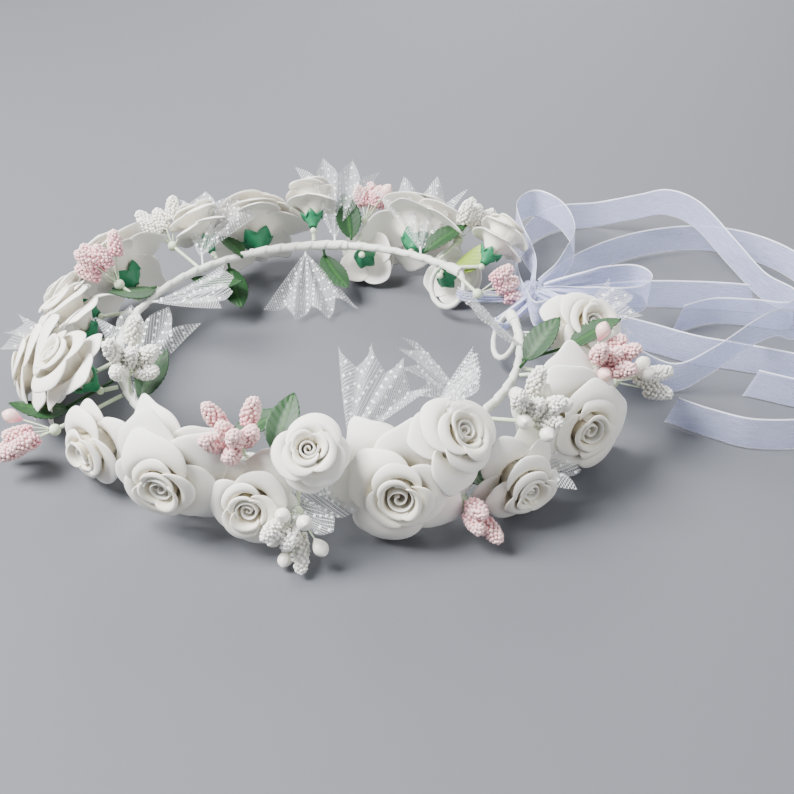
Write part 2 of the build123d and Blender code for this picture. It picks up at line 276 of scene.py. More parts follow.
def solids_of(node):
    """Each solid of a CAD node, as its points, its faces' areas, normals and centres."""
    work = bmesh.new()
    work.from_mesh(frame["nodes"][node].data)
    bmesh.ops.remove_doubles(work, verts=work.verts, dist=WELD)
    work.verts.ensure_lookup_table()
    seen = set()
    found = []
    for start in work.verts:
        if start in seen:
            continue
        island = [start]
        seen.add(start)
        for vert in island:
            for edge in vert.link_edges:
                other = edge.other_vert(vert)
                if other not in seen:
                    seen.add(other)
                    island.append(other)
        faces = dict.fromkeys(face for vert in island for face in vert.link_faces)
        points = [vert.co.copy() for vert in island]
        flats = [(f.calc_area(), f.normal.copy(), f.calc_center_median()) for f in faces]
        found.append((points, flats))
    work.free()
    return found


def largest_flat(flats):
    """The outward way and the centre of a solid's largest flat end.

    The two sides of a plate can be equal. The one that faces the front is taken then, so
    that rounding never chooses which way a leaf or a piece of tulle is turned.
    """
    groups = []
    for area, normal, centre in flats:
        for group in groups:
            if group[0].dot(normal) > SAME_WAY:
                group[1] += area
                group[2] += centre * area
                break
        else:
            groups.append([normal, area, centre * area])
    most = max(group[1] for group in groups)
    equal = [group for group in groups if group[1] > most * (1 - TIE)]
    best = min(equal, key=lambda group: group[0].y)
    return best[0].normalized(), best[2] / best[1]


def turned_to(way, roll=0.0):
    """A rotation that takes +Z to a direction."""
    return way.to_track_quat("Z", "Y").to_matrix() @ Matrix.Rotation(roll, 3, "Z")


# %% [markdown]
# ## Finishes
# Each finish is a small node tree: a base colour, a fine pattern at its real scale, and a
# bump from the same pattern. Values that are the same all over go straight on the shader.


# %% Start a finish
def new_finish(name, colour, roughness, sheen=0.0, subsurface=0.0):
    material = bpy.data.materials.new(name)
    material.use_nodes = True
    tree = material.node_tree
    shader = tree.nodes["Principled BSDF"]
    shader.inputs["Base Color"].default_value = (*colour, 1.0)
    shader.inputs["Roughness"].default_value = roughness
    shader.inputs["Sheen Weight"].default_value = sheen
    shader.inputs["Subsurface Weight"].default_value = subsurface
    shader.inputs["Subsurface Radius"].default_value = (0.004, 0.003, 0.003)
    return material, tree, shader


def node(tree, kind, **values):
    made = tree.nodes.new(kind)
    for name, value in values.items():
        setattr(made, name, value)
    return made


def object_noise(tree, scale, detail=4.0):
    place = node(tree, "ShaderNodeTexCoord")
    noise = node(tree, "ShaderNodeTexNoise")
    noise.inputs["Scale"].default_value = scale
    noise.inputs["Detail"].default_value = detail
    tree.links.new(place.outputs["Object"], noise.inputs["Vector"])
    return noise.outputs["Fac"]


def blend_colours(tree, factor, low, high):
    mix = node(tree, "ShaderNodeMix", data_type="RGBA")
    mix.inputs["A"].default_value = (*low, 1.0)
    mix.inputs["B"].default_value = (*high, 1.0)
    tree.links.new(factor, mix.inputs["Factor"])
    return mix.outputs["Result"]


def bump_from(tree, shader, height, distance, strength=0.6):
    bump = node(tree, "ShaderNodeBump")
    bump.inputs["Distance"].default_value = distance
    bump.inputs["Strength"].default_value = strength
    tree.links.new(height, bump.inputs["Height"])
    tree.links.new(bump.outputs["Normal"], shader.inputs["Normal"])


def depth_of(tree):
    depth = node(tree, "ShaderNodeAttribute", attribute_name="depth")
    return depth.outputs["Fac"]


def maths(tree, operation, first, second=None):
    """A Math node, whose inputs are links or plain numbers."""
    made = node(tree, "ShaderNodeMath", operation=operation)
    for index, value in enumerate((first, second)):
        if value is None:
            continue
        if isinstance(value, (int, float)):
            made.inputs[index].default_value = value
        else:
            tree.links.new(value, made.inputs[index])
    return made.outputs[0]


# %% [markdown]
# ### Rose foam
# The roses are cut from thin white foam sheet. It is matte and lets a little light through.
# Shade deep inside the flower is painted into its colour: it turns a darker cream towards
# the heart. The `depth` value on each point, 0 at the lip and 1 in the heart, drives that painted shade.

# %% Rose foam
rose_foam, tree, shader = new_finish("rose_foam", (0.86, 0.86, 0.85), 0.62, 0.15, 0.12)
# painted shade: the foam is painted a darker cream towards the heart of the flower, where shade falls
tone = blend_colours(tree, depth_of(tree), (0.89, 0.88, 0.845), (0.80, 0.71, 0.50))
tree.links.new(tone, shader.inputs["Base Color"])
bump_from(tree, shader, object_noise(tree, 2400.0, 3.0), 0.0001, 0.5)

# %% [markdown]
# ### Stamens
# The grained heads are dipped in coarse grains and the smooth buds are lacquered. Pink
# ones are deeper at the foot.


# %% Stamen finishes
def stamen_finish(name, tip, foot, roughness):
    made, tree, shader = new_finish(name, tip, roughness, 0.0, 0.08)
    tone = blend_colours(tree, depth_of(tree), tip, foot)
    tree.links.new(tone, shader.inputs["Base Color"])
    bump_from(tree, shader, object_noise(tree, 3200.0, 2.0), 0.00008, 0.5)
    return made


pink_grain = stamen_finish("pink_grain", (0.88, 0.62, 0.60), (0.82, 0.38, 0.46), 0.55)
pink_bud = stamen_finish("pink_bud", (0.88, 0.62, 0.58), (0.83, 0.16, 0.36), 0.30)
white_grain = stamen_finish("white_grain", (0.88, 0.87, 0.82), (0.78, 0.76, 0.66), 0.55)
white_bud = stamen_finish("white_bud", (0.86, 0.84, 0.76), (0.80, 0.76, 0.62), 0.28)

# %% [markdown]
# ### Paper tape
# Floral tape is crinkled crepe paper. Fine wrinkles run across it, and its edges show as
# a spiral on the band.

# %% Paper tape
paper_tape, tree, shader = new_finish("paper_tape", (0.80, 0.80, 0.74), 0.7, 0.1)
tone = blend_colours(tree, object_noise(tree, 160.0), (0.66, 0.67, 0.60), (0.86, 0.86, 0.81))
tree.links.new(tone, shader.inputs["Base Color"])
bump_from(tree, shader, object_noise(tree, 1500.0, 5.0), 0.00025, 0.8)

# %% [markdown]
# ### Covered wire, calyxes and leaves
# Stems are thread-covered wire, pale green. The calyx is soft moulded plastic. The leaves
# are pressed fabric with a starched sheen, darker between the veins.


# %% Green finishes
def mottled(name, low, high, scale, roughness, bump, sheen=0.0):
    made, tree, shader = new_finish(name, low, roughness, sheen)
    tone = blend_colours(tree, object_noise(tree, scale), low, high)
    tree.links.new(tone, shader.inputs["Base Color"])
    bump_from(tree, shader, object_noise(tree, 2600.0, 2.0), bump, 0.6)
    return made


covered_wire = mottled("covered_wire", (0.50, 0.62, 0.40), (0.70, 0.76, 0.60), 300.0, 0.6, 0.0001)
calyx_green = mottled("calyx_green", (0.008, 0.14, 0.06), (0.02, 0.24, 0.10), 220.0, 0.5, 0.0001)
steel_wire = mottled("steel_wire", (0.42, 0.43, 0.44), (0.55, 0.56, 0.57), 500.0, 0.35, 0.00003)
steel_wire.node_tree.nodes["Principled BSDF"].inputs["Metallic"].default_value = 1.0

leaf_fabric, tree, shader = new_finish("leaf_fabric", (0.03, 0.14, 0.03), 0.55, 0.03)
vein = blend_colours(tree, depth_of(tree), (0.005, 0.045, 0.008), (0.022, 0.10, 0.016))
mottle = node(tree, "ShaderNodeMix", data_type="RGBA", blend_type="MULTIPLY")
mottle.inputs["Factor"].default_value = 0.5
tree.links.new(vein, mottle.inputs["A"])
spots = blend_colours(tree, object_noise(tree, 400.0), (0.6, 0.6, 0.5), (1.2, 1.25, 1.0))
tree.links.new(spots, mottle.inputs["B"])
tree.links.new(mottle.outputs["Result"], shader.inputs["Base Color"])
bump_from(tree, shader, object_noise(tree, 1800.0, 3.0), 0.0001, 0.5)
lime_leaf = mottled("lime_leaf", (0.16, 0.26, 0.02), (0.30, 0.42, 0.05), 180.0, 0.4, 0.0001, 0.2)

# %% [markdown]
# ### Tulle and organza
# Both are woven so open that you see through them. Tulle is drawn as a net of threads
# from its own flat coordinates, in millimetres, and only the threads are solid. Organza
# is denser: the whole strip is half clear, its two woven edges are nearly solid, and
# lengthwise threads vary in how much they catch. The edges also carry a painted highlight for their shine.


# %% A net of threads
def thread_lines(tree, along, pitch, width):
    """1 on a thread and 0 between threads, across one flat coordinate."""
    place = maths(tree, "FRACT", maths(tree, "DIVIDE", along, pitch))
    return maths(tree, "LESS_THAN", place, width)


NET_PITCH = 1.0                    # mm from thread to thread
THREAD_SHARE = 0.16                # how much of a pitch the thread fills

tulle_net, tree, shader = new_finish("tulle_net", (0.84, 0.85, 0.87), 0.6, 0.3)
flat = node(tree, "ShaderNodeUVMap", uv_map="flat")
parts = node(tree, "ShaderNodeSeparateXYZ")
tree.links.new(flat.outputs["UV"], parts.inputs[0])
across = thread_lines(tree, parts.outputs[0], NET_PITCH, THREAD_SHARE)
along = thread_lines(tree, parts.outputs[1], NET_PITCH, THREAD_SHARE)
net = maths(tree, "MAXIMUM", across, along)
veil = maths(tree, "ADD", maths(tree, "MULTIPLY", net, 0.80), 0.03)
tree.links.new(veil, shader.inputs["Alpha"])

tulle_dot = mottled("tulle_dot", (0.82, 0.83, 0.84), (0.90, 0.90, 0.90), 900.0, 0.5, 0.0001)

HALF_RIBBON = 7.5                  # mm from the strip's middle to its edge
WOVEN_EDGE = 0.6                   # mm of denser weave along each edge

organza, tree, shader = new_finish("organza", (0.74, 0.77, 0.92), 0.38, 0.5)
flat = node(tree, "ShaderNodeUVMap", uv_map="flat")
parts = node(tree, "ShaderNodeSeparateXYZ")
tree.links.new(flat.outputs["UV"], parts.inputs[0])
stretched = node(tree, "ShaderNodeMapping")
stretched.inputs["Scale"].default_value = (0.08, 3.2, 1.0)
tree.links.new(flat.outputs["UV"], stretched.inputs["Vector"])
threads = node(tree, "ShaderNodeTexNoise")
threads.inputs["Scale"].default_value = 1.6
threads.inputs["Detail"].default_value = 5.0
tree.links.new(stretched.outputs["Vector"], threads.inputs["Vector"])
from_middle = maths(tree, "ABSOLUTE", maths(tree, "SUBTRACT", parts.outputs[1], HALF_RIBBON))
edge = maths(tree, "GREATER_THAN", from_middle, HALF_RIBBON - WOVEN_EDGE)
flecks = node(tree, "ShaderNodeTexNoise")
flecks.inputs["Scale"].default_value = 2.6
flecks.inputs["Detail"].default_value = 3.0
tree.links.new(flat.outputs["UV"], flecks.inputs["Vector"])
catch = maths(tree, "ADD", threads.outputs["Fac"], flecks.outputs["Fac"])
grain = maths(tree, "MULTIPLY", maths(tree, "SUBTRACT", catch, 0.72), 1.35)
grain = maths(tree, "MAXIMUM", maths(tree, "MINIMUM", grain, 0.85), 0.16)
clear = maths(tree, "ADD", grain, maths(tree, "MULTIPLY", edge, 0.5))
tree.links.new(maths(tree, "MINIMUM", clear, 0.93), shader.inputs["Alpha"])
# painted highlight: the woven edges are painted near white for their shine
tone = blend_colours(tree, edge, (0.60, 0.64, 0.92), (0.88, 0.88, 0.98))
tree.links.new(tone, shader.inputs["Base Color"])
print("finishes", len(bpy.data.materials))

# %% [markdown]
# ## Finishes on the CAD pieces that stay
# The wire, the stems and the bindings already have their true shape, so they keep their
# CAD solids and only take a finish.

# %% Dress the CAD pieces
KEPT = {
    "band_wire": steel_wire,
    "rose_stems": covered_wire,
    "spray_stems": covered_wire,
    "end_bindings": paper_tape,
}
for name, finish in KEPT.items():
    solid = frame["nodes"][name]
    for slot in solid.material_slots:
        slot.material = finish
print("dressed", sorted(KEPT))

# %% [markdown]
# ## The band and its end loops
# The band is wire and stems wound together with tape. A tube is swept along the band and
# its radius steps once a turn, where one lap of tape ends on the next, which is the
# spiral that shows on the real one. A little unevenness keeps it hand-wound.


# %% A tube wound with tape
def wound_tube(heap, path, normals, radius, pitch, step, seed):
    """A tube along a path whose surface climbs like overlapping tape."""
    sides = 16
    chance = random.Random(seed)
    phases = [chance.uniform(0, math.tau) for _ in range(3)]
    points = []
    run = 0.0
    for index, (place, side) in enumerate(zip(path, normals)):
        before = path[max(index - 1, 0)]
        after = path[min(index + 1, len(path) - 1)]
        along = (after - before).normalized()
        other = along.cross(side).normalized()
        run += (place - before).length
        swell = 1 + 0.05 * math.sin(run / 0.011 + phases[0]) + 0.03 * math.sin(run / 0.0047 + phases[1])
        for corner in range(sides):
            turn = math.tau * corner / sides
            lap = (run / pitch + turn / math.tau) % 1.0
            out = radius * swell * (1 - step + step * (1 - lap) ** 0.6)
            points.append(place + side * (math.cos(turn) * out) + other * (math.sin(turn) * out))
    faces = grid_faces(len(path), sides, True)
    count = len(points)
    faces.append(tuple(reversed(range(sides))))
    faces.append(tuple(range(count - sides, count)))
    heap.add(points, faces)


# %% Wind the band
mounts = {mount["name"]: mount for mount in RECORD["mounts"]}
band_low, band_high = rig.box("band_wrap")
wire_low, wire_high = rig.box("band_wire")
outer = ((band_high.x - band_low.x) + (wire_high.x - wire_low.x)) / 2
thick = ((band_high.z - band_low.z) + (wire_high.z - wire_low.z)) / 2
BAND_RADIUS = (outer - thick) / 2
BAND_HEIGHT = (band_low.z + band_high.z) / 2
WRAP_RADIUS = (band_high.z - band_low.z) / 2
BAND_ENDS = (43.0, 374.0)          # degrees round the crown
SEAM_ENDS = (84.0, 116.0)
BAND_LAP = 8.5 * MM                # how far one turn of tape climbs along the band
SEAM_LAP = 7.5 * MM
LOOP_LAP = 5.0 * MM


def band_path(first, last, steps):
    path = []
    sides = []
    for step in range(steps + 1):
        angle = math.radians(first + (last - first) * step / steps)
        out = Vector((math.cos(angle), math.sin(angle), 0))
        path.append(out * BAND_RADIUS + UP * BAND_HEIGHT)
        sides.append(out)
    return path, sides


heap = Heap()
wound_tube(heap, *band_path(*BAND_ENDS, 640), WRAP_RADIUS * 1.02, BAND_LAP, 0.30, 3)
band = heap.build("band_tape", paper_tape)
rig.replaces(band, "band_wrap")
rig.slot(band, "paper_tape")

heap = Heap()
wound_tube(heap, *band_path(*SEAM_ENDS, 110), WRAP_RADIUS * 1.2, SEAM_LAP, 0.24, 8)
seam = heap.build("band_second_tape", paper_tape)
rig.replaces(seam, "band_seam")
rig.slot(seam, "paper_tape")
print("band radius", round(BAND_RADIUS, 4), "height", round(BAND_HEIGHT, 4))

# %% [markdown]
# Each end loop is one covered wire bent round and bound back to the band. Its plane comes
# from the crown's stated mounts.

# %% Bend the end loops
LOOP_RADIUS = 10.0 * MM
LOOP_WIRE = 1.25 * MM              # half the covered wire's thickness
KNOT_HEIGHT = 16.5 * MM            # the knot's middle above the table
end_loops = {}
knot_low, knot_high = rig.box("ribbon_knot")
KNOT = Vector(((knot_low.x + knot_high.x) / 2, (knot_low.y + knot_high.y) / 2, KNOT_HEIGHT))
for side in ("left", "right"):
    centre = Vector(mounts[side + "_eyelet"]["pos_m"])
    normal = Vector(mounts[side + "_eyelet"]["axis"]).normalized()
    level = normal.cross(UP).normalized()
    if level.dot(KNOT - centre) < 0:
        level = -level
    down = normal.cross(level).normalized()
    end_loops[side] = (centre, level, down)
    path = []
    normals = []
    for step in range(97):
        turn = math.tau * step / 96
        out = level * math.cos(turn) - down * math.sin(turn)
        path.append(centre + out * LOOP_RADIUS)
        normals.append(out)
    heap = Heap()
    wound_tube(heap, path, normals, LOOP_WIRE, LOOP_LAP, 0.16, 5)
    loop = heap.build(side + "_wire_loop", paper_tape)
    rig.replaces(loop, side + "_eyelet")
    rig.slot(loop, "paper_tape")

# %% [markdown]
# ## Foam roses
# A foam rose is stamped petals threaded on a stem: a rolled bud, cupped petals round it,
# and open petals whose lips curl outward to a soft point. Each petal is one curved grid.
# Its profile says how far out and how high it stands from foot to lip, and small seeded
# differences keep any two from matching.


# %% One petal
HEART = 0.20                       # how far out a petal starts, as a share of the radius
LIP = 0.66                         # how far up a petal its lip starts to roll


def petal(heap, radius, tall, chance, turn, span, reach, rise, curl, point, shade):
    """A broad petal: it climbs, leans out and rolls its lip over, with a soft point."""
    rows = 12
    columns = 15
    points = []
    shades = []
    wave = chance.uniform(0, math.tau)
    tuck = chance.choice((-1, 1)) * 0.05
    side = chance.uniform(-0.25, 0.25)
    for row in range(rows):
        v = row / (rows - 1)
        for column in range(columns):
            u = 2 * column / (columns - 1) - 1
            tip = max(0.0, 1 - abs(u - side) * 3.0) ** 1.5
            t = v * (1 - 0.26 * abs(u) ** 3.2) + 0.10 * point * tip * v ** 4
            angle = turn + span * u * (0.40 + 0.60 * min(1.0, v * 1.7))
            over = max(0.0, t - LIP) / (1 - LIP)
            bell = HEART + (reach - HEART) * min(t, 1.1) ** 1.25
            high = rise * math.sin(math.pi / 2 * min(1.0, t * 1.12)) + 0.04
            bell += curl * over ** 1.5 * (1 - 0.35 * abs(u))
            high -= curl * 0.95 * over ** 2.2
            ripple = 0.030 * math.sin(3.1 * u + wave) * over
            cup = 1 - 0.13 * u * u * (1 - 0.8 * over) + tuck * u
            out = radius * (bell + ripple) * cup
            points.append(around(angle, out, tall * (high + ripple)))
            # painted shade: the petal darkens towards its foot, deep in the flower, scaled by its row's shade
            shades.append(min(1.0, shade * max(0.0, 1.02 - t) ** 0.55))
    heap.add(points, grid_faces(rows, columns), shades)


# %% The rolled bud
def bud(heap, radius, tall, chance, turns=2.1):
    steps = 56
    rows = 8
    points = []
    shades = []
    begin = chance.uniform(0, math.tau)
    for row in range(rows):
        v = row / (rows - 1)
        for step in range(steps):
            s = step / (steps - 1)
            angle = begin + s * turns * math.tau
            out = radius * (0.02 + 0.27 * s ** 0.9) * (1.0 + 0.14 * math.sin(v * 2.6) - 0.18 * v)
            high = 0.25 + (0.66 + 0.07 * s) * v + 0.014 * math.sin(angle * 1.5)
            points.append(around(angle, out, tall * high))
            # painted shade: the bud darkens towards its foot and its innermost turns
            shades.append(min(1.0, 0.9 * (1 - v) + 0.30 * (1 - s)))
    heap.add(points, grid_faces(rows, steps), shades)


# %% Plant the roses
ROSE_FORMS = {
    # rows of petals: how many, half span, reach, rise, lip curl, pointed lip, painted shade
    "large": (
        (3, 1.30, 0.36, 0.97, 0.05, 0.0, 1.0),
        (3, 1.25, 0.54, 0.93, 0.12, 0.3, 1.0),
        (3, 1.30, 0.74, 0.82, 0.18, 0.9, 0.8),
        (4, 1.04, 0.90, 0.60, 0.20, 1.2, 0.6),
        (5, 0.88, 0.94, 0.34, 0.20, 1.2, 0.5),
    ),
    "medium": (
        (3, 1.30, 0.42, 0.97, 0.04, 0.0, 1.0),
        (3, 1.25, 0.62, 0.94, 0.09, 0.1, 0.8),
        (3, 1.30, 0.84, 0.80, 0.14, 0.4, 0.6),
        (4, 1.04, 0.92, 0.48, 0.16, 0.7, 0.5),
    ),
    "small": (
        (3, 1.30, 0.48, 0.97, 0.03, 0.0, 0.9),
        (3, 1.28, 0.72, 0.94, 0.07, 0.0, 0.7),
        (3, 1.30, 0.90, 0.78, 0.12, 0.2, 0.5),
        (4, 1.05, 0.92, 0.44, 0.12, 0.4, 0.5),
    ),
}
# radius and height of each form, in millimetres
SIZES = {"large": (21.5, 24.0), "medium": (16.5, 22.0), "small": (13.5, 20.0)}
FOAM = 0.75 * MM


def plant_rose(name, form, seed):
    points, flats = solids_of(name)[0]
    way, top = largest_flat(flats)
    radius, tall = (size * MM for size in SIZES[form])
    chance = random.Random(seed)
    heap = Heap()
    bud(heap, radius, tall, chance)
    for count, span, reach, rise, curl, point, shade in ROSE_FORMS[form]:
        begin = chance.uniform(0, math.tau)
        for index in range(count):
            turn = begin + math.tau * index / count + chance.uniform(-0.10, 0.10)
            far = reach * chance.uniform(0.95, 1.04)
            high = rise * chance.uniform(0.95, 1.04)
            lip = curl * chance.uniform(0.7, 1.4)
            petal(heap, radius, tall, chance, turn, span, far, high, lip, point, shade)
    place = Matrix.Translation(top - way * tall) @ turned_to(way, seed).to_4x4()
    heap.points = [place @ point for point in heap.points]
    rose = heap.build(name + "_petals", rose_foam, thickness=FOAM, rounds=1)
    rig.replaces(rose, name)
    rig.slot(rose, "rose_foam")


roses = sorted(n for n in frame["nodes"] if "_rose_" in n)
for index, name in enumerate(roses):
    plant_rose(name, name.split("_")[0], 11 + index)
print("roses", len(roses))

# %% [markdown]
# ## Calyxes
# Under each rose sits a small moulded calyx: a cone with five pointed sepals that hug the
# lowest petals.

# %% Set the calyxes
# a ring's height in mm, and its radius: in mm on the stem, a share of the calyx above it
CALYX_RINGS = ((-4.0, 1.4), (-3.0, 1.9), (-1.6, 0.44), (0.0, 0.72), (1.8, 0.94), (4.2, 1.18))
STEM_RINGS = 2
SEPALS = 5

heap = Heap()
for points, flats in solids_of("calyxes"):
    way, base = largest_flat(flats)
    size = max((p - base - way * (p - base).dot(way)).length for p in points)
    turn = turned_to(way, base.x * 900)
    sides = 40
    shaped = []
    for level, (height, wide) in enumerate(CALYX_RINGS):
        for corner in range(sides):
            angle = math.tau * corner / sides
            lobe = abs((angle * SEPALS / math.tau) % 1.0 * 2 - 1)
            notch = 0.80 + 0.20 * lobe if level > 3 else 1.0
            out = wide * MM if level < STEM_RINGS else size * wide * notch
            up = height * MM * (0.10 + 0.90 * lobe if level > 4 else 1.0)
            shaped.append(base + turn @ around(angle, out, up))
    heap.add(shaped, grid_faces(len(CALYX_RINGS), sides, True))
calyx = heap.build("calyx_sepals", calyx_green, thickness=0.5 * MM)
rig.replaces(calyx, "calyxes")
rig.slot(calyx, "calyx_green")

# %% [markdown]
# ## Stamen sprays
# A grained head is a little club covered in beads, so real beads are set over it in a
# golden-angle spiral. Smooth buds are plain teardrops. The CAD cones say where each head
# stands and which way it points.

# %% One bead, one club, one bud
bead_mesh = bmesh.new()
bmesh.ops.create_icosphere(bead_mesh, subdivisions=1, radius=1.0)
BEAD_POINTS = [vert.co.copy() for vert in bead_mesh.verts]
BEAD_FACES = [tuple(vert.index for vert in face.verts) for face in bead_mesh.faces]
bead_mesh.free()
GOLDEN_TURN = 2.39996              # radians, spreads the beads evenly
BEADS = 76
TIP_BEADS = 5


def club(heap, foot, way, length, radius, chance):
    """A grained head: beads that narrow towards both ends, over a solid core."""
    turn = turned_to(way)
    for index in range(BEADS):
        s = (index + 0.5) / BEADS
        shape = math.sin(math.pi * (0.16 + 0.76 * s)) ** 0.5 * (1 - 0.22 * s)
        angle = index * GOLDEN_TURN + chance.uniform(-0.2, 0.2)
        out = radius * shape * 0.86
        centre = around(angle, out, length * s)
        size = chance.uniform(0.72, 1.0) * MM
        shade = max(0.0, 0.8 - 1.6 * s) + chance.uniform(0, 0.12)
        beads = [foot + turn @ (centre + point * size) for point in BEAD_POINTS]
        heap.add(beads, BEAD_FACES, [shade] * len(beads), 0)
    for index in range(TIP_BEADS):
        last = index == TIP_BEADS - 1
        angle = index * 1.6
        ring = 0.0 if last else radius * 0.22
        rise = length * (1.03 if last else 0.99)
        centre = around(angle, ring, rise)
        beads = [foot + turn @ (centre + point * 0.85 * MM) for point in BEAD_POINTS]
        heap.add(beads, BEAD_FACES, [0.05] * len(beads), 0)
    rows, sides = 6, 10
    core = []
    for row in range(rows):
        s = row / (rows - 1)
        out = radius * 0.72 * math.sin(math.pi * (0.06 + 0.90 * s)) ** 0.6 * (1 - 0.28 * s)
        for corner in range(sides):
            angle = math.tau * corner / sides
            core.append(foot + turn @ around(angle, out, length * s))
    heap.add(core, grid_faces(rows, sides, True), [0.5] * len(core), 0)


def teardrop(heap, foot, way, length, radius):
    """A smooth bud, widest a little above its middle."""
    turn = turned_to(way)
    rows, sides = 14, 16
    points = []
    shades = []
    for row in range(rows):
        s = row / (rows - 1)
        out = radius * max(0.02, math.sin(math.pi * s ** 1.35) ** 0.75 if 0 < s < 1 else 0.02)
        for corner in range(sides):
            angle = math.tau * corner / sides
            points.append(foot + turn @ around(angle, out, length * s))
            shades.append(max(0.0, 1 - s * 2.2))
    heap.add(points, grid_faces(rows, sides, True), shades, 1)


# %% Make the sprays
WIDEST_BUD = 2.7 * MM              # a head of a larger radius than this is a grained one
CLUB_RADIUS = 3.9 * MM
BUD_RADIUS = 2.9 * MM
HEAD_STRETCH = 1.12                # the beads stand a little past the CAD cone

for name in sorted(n for n in frame["nodes"] if "_spray_" in n):
    pink = name.startswith("pink")
    chance = random.Random(name)
    heap = Heap()
    for points, flats in solids_of(name):
        outward, foot = largest_flat(flats)
        way = -outward
        length = max((p - foot).dot(way) for p in points)
        wide = max((p - foot - way * (p - foot).dot(way)).length for p in points)
        if wide > WIDEST_BUD:
            club(heap, foot - way * 0.4 * MM, way, length * HEAD_STRETCH, CLUB_RADIUS, chance)
        else:
            teardrop(heap, foot, way, length * HEAD_STRETCH, BUD_RADIUS)
    finish = (pink_grain, pink_bud) if pink else (white_grain, white_bud)
    spray = heap.build(name + "_heads", finish)
    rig.replaces(spray, name)
    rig.slot(spray, "pink_stamen" if pink else "white_stamen")
print("sprays done")

# %% [markdown]
# ## Leaves
# A leaf is one grid, folded a little along its midrib, with saw teeth along the edge and
# pressed side veins raised in the mesh. The CAD plate gives its plane, foot and tip.


# %% Read a plate
def distance_to_band(point):
    level = math.hypot(point.x, point.y) - BAND_RADIUS
    return math.hypot(level, point.z - BAND_HEIGHT)


def plate_frame(flats, points):
    """A plate's foot, its way from foot to tip, its normal, its length and its middle."""
    normal, middle = largest_flat(flats)
    on_plate = [p for p in points if abs((p - middle).dot(normal)) < 0.7 * MM]
    foot = min(on_plate, key=distance_to_band)
    tip = max(on_plate, key=lambda p: (p - foot).length)
    way = (tip - foot).normalized()
    way = (way - normal * way.dot(normal)).normalized()
    return foot, way, normal, (tip - foot).length, middle


STALK = 0.5 * MM
TEETH = 11
VEINS = 8
VEIN_RELIEF = 0.28 * MM
RIB_RELIEF = 0.5 * MM


def stalk(heap, points, end):
    """The thin wired stem from the band to a blade's foot."""
    start = min(points, key=distance_to_band)
    way = (end - start).normalized()
    turn = turned_to(way)
    start = start - way * 0.8 * MM
    tube = []
    for place in (start, start.lerp(end, 0.5), end):
        for corner in range(8):
            angle = math.tau * corner / 8
            tube.append(place + turn @ around(angle, 1.0, 0.0) * STALK)
    heap.add(tube, grid_faces(3, 8, True), [0.4] * len(tube))


def leaf(heap, foot, way, normal, length, width, chance):
    """A toothed blade, folded along its midrib and bowed, with its veins raised."""
    rows, columns = 34, 13
    across = normal.cross(way).normalized()
    points = []
    shades = []
    bow = chance.uniform(0.06, 0.16)
    for row in range(rows):
        v = row / (rows - 1)
        body = math.sin(math.pi * v ** 0.85) ** 0.75 if 0 < v < 1 else 0.0
        tooth = 0.90 + 0.13 * ((v * TEETH) % 1.0)
        for column in range(columns):
            u = 2 * column / (columns - 1) - 1
            half = width / 2 * max(body, 0.02) * (tooth if abs(u) > 0.95 else 1.0)
            vein = abs(((v * VEINS - abs(u) * 1.6) % 1.0) - 0.5) * 2
            rib = max(0.0, 1 - abs(u) * 9)
            relief = VEIN_RELIEF * vein ** 3 + RIB_RELIEF * rib
            fold = 0.22 * abs(u) * half - bow * length * v * v
            points.append(foot + way * (length * v) + across * (u * half) + normal * (fold + relief))
            shades.append(min(1.0, rib + 0.55 * max(0.0, vein - 0.75) * 4))
    heap.add(points, grid_faces(rows, columns), shades)


# %% Press the leaves
LIME = {"leaves_back": 5}          # the one pale leaf, by the left end loop
LEAF_LENGTHS = (15 * MM, 25 * MM)  # the shortest and the longest
LEAF_WIDTH = 13.5 * MM
for name in sorted(n for n in frame["nodes"] if n.startswith("leaves_")):
    chance = random.Random(name)
    heap = Heap()
    for index, (points, flats) in enumerate(solids_of(name)):
        foot, way, normal, length, middle = plate_frame(flats, points)
        size = min(max(length, LEAF_LENGTHS[0]), LEAF_LENGTHS[1])
        first = len(heap.faces)
        tip = foot + way * length
        leaf(heap, tip - way * size, way, normal, size, LEAF_WIDTH, chance)
        stalk(heap, points, tip - way * (size - 1.5 * MM))
        if LIME.get(name) == index:
            heap.kinds[first:] = [1] * (len(heap.faces) - first)
    leaves = heap.build(name + "_pressed", (leaf_fabric, lime_leaf), thickness=0.35 * MM)
    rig.replaces(leaves, name)
    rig.slot(leaves, "leaf_fabric")

# %% [markdown]
# ## Dotted tulle
# Each piece of tulle is a square pinched at one corner, so it opens as a fan of soft
# pleats with sharp outer corners. Raised dots sit on a slanting grid, so they are made as
# tiny domes on the same curved surface.


# %% A pleated fan
def fan_point(foot, way, across, normal, length, spread, folds, phase, s, t):
    """The place on a fan, s across it from -1 to 1 and t from its foot to its rim."""
    angle = s * spread
    corner = 0.76 + 0.24 * abs((1.5 * s + 0.5) % 1.0 * 2 - 1)
    far = length * t * corner
    pleat = math.sin(folds * math.pi * s + phase) * 0.075 * length * t ** 1.1
    sag = -0.10 * length * t * t
    out = way * math.cos(angle) + across * math.sin(angle)
    return foot + out * far + normal * (pleat + sag)


TULLE_LENGTHS = (28 * MM, 41 * MM)  # the shortest and the longest
DOT_RADIUS = 0.62 * MM
DOT_HEIGHT = 0.34 * MM
DOT_STEP = 4.4                     # mm from dot to dot along a row
DOT_ROW = 3.6                      # mm from row to row
DOT_SHIFT = 2.2                    # mm that every other row is set over
DOT_SIDES = 8


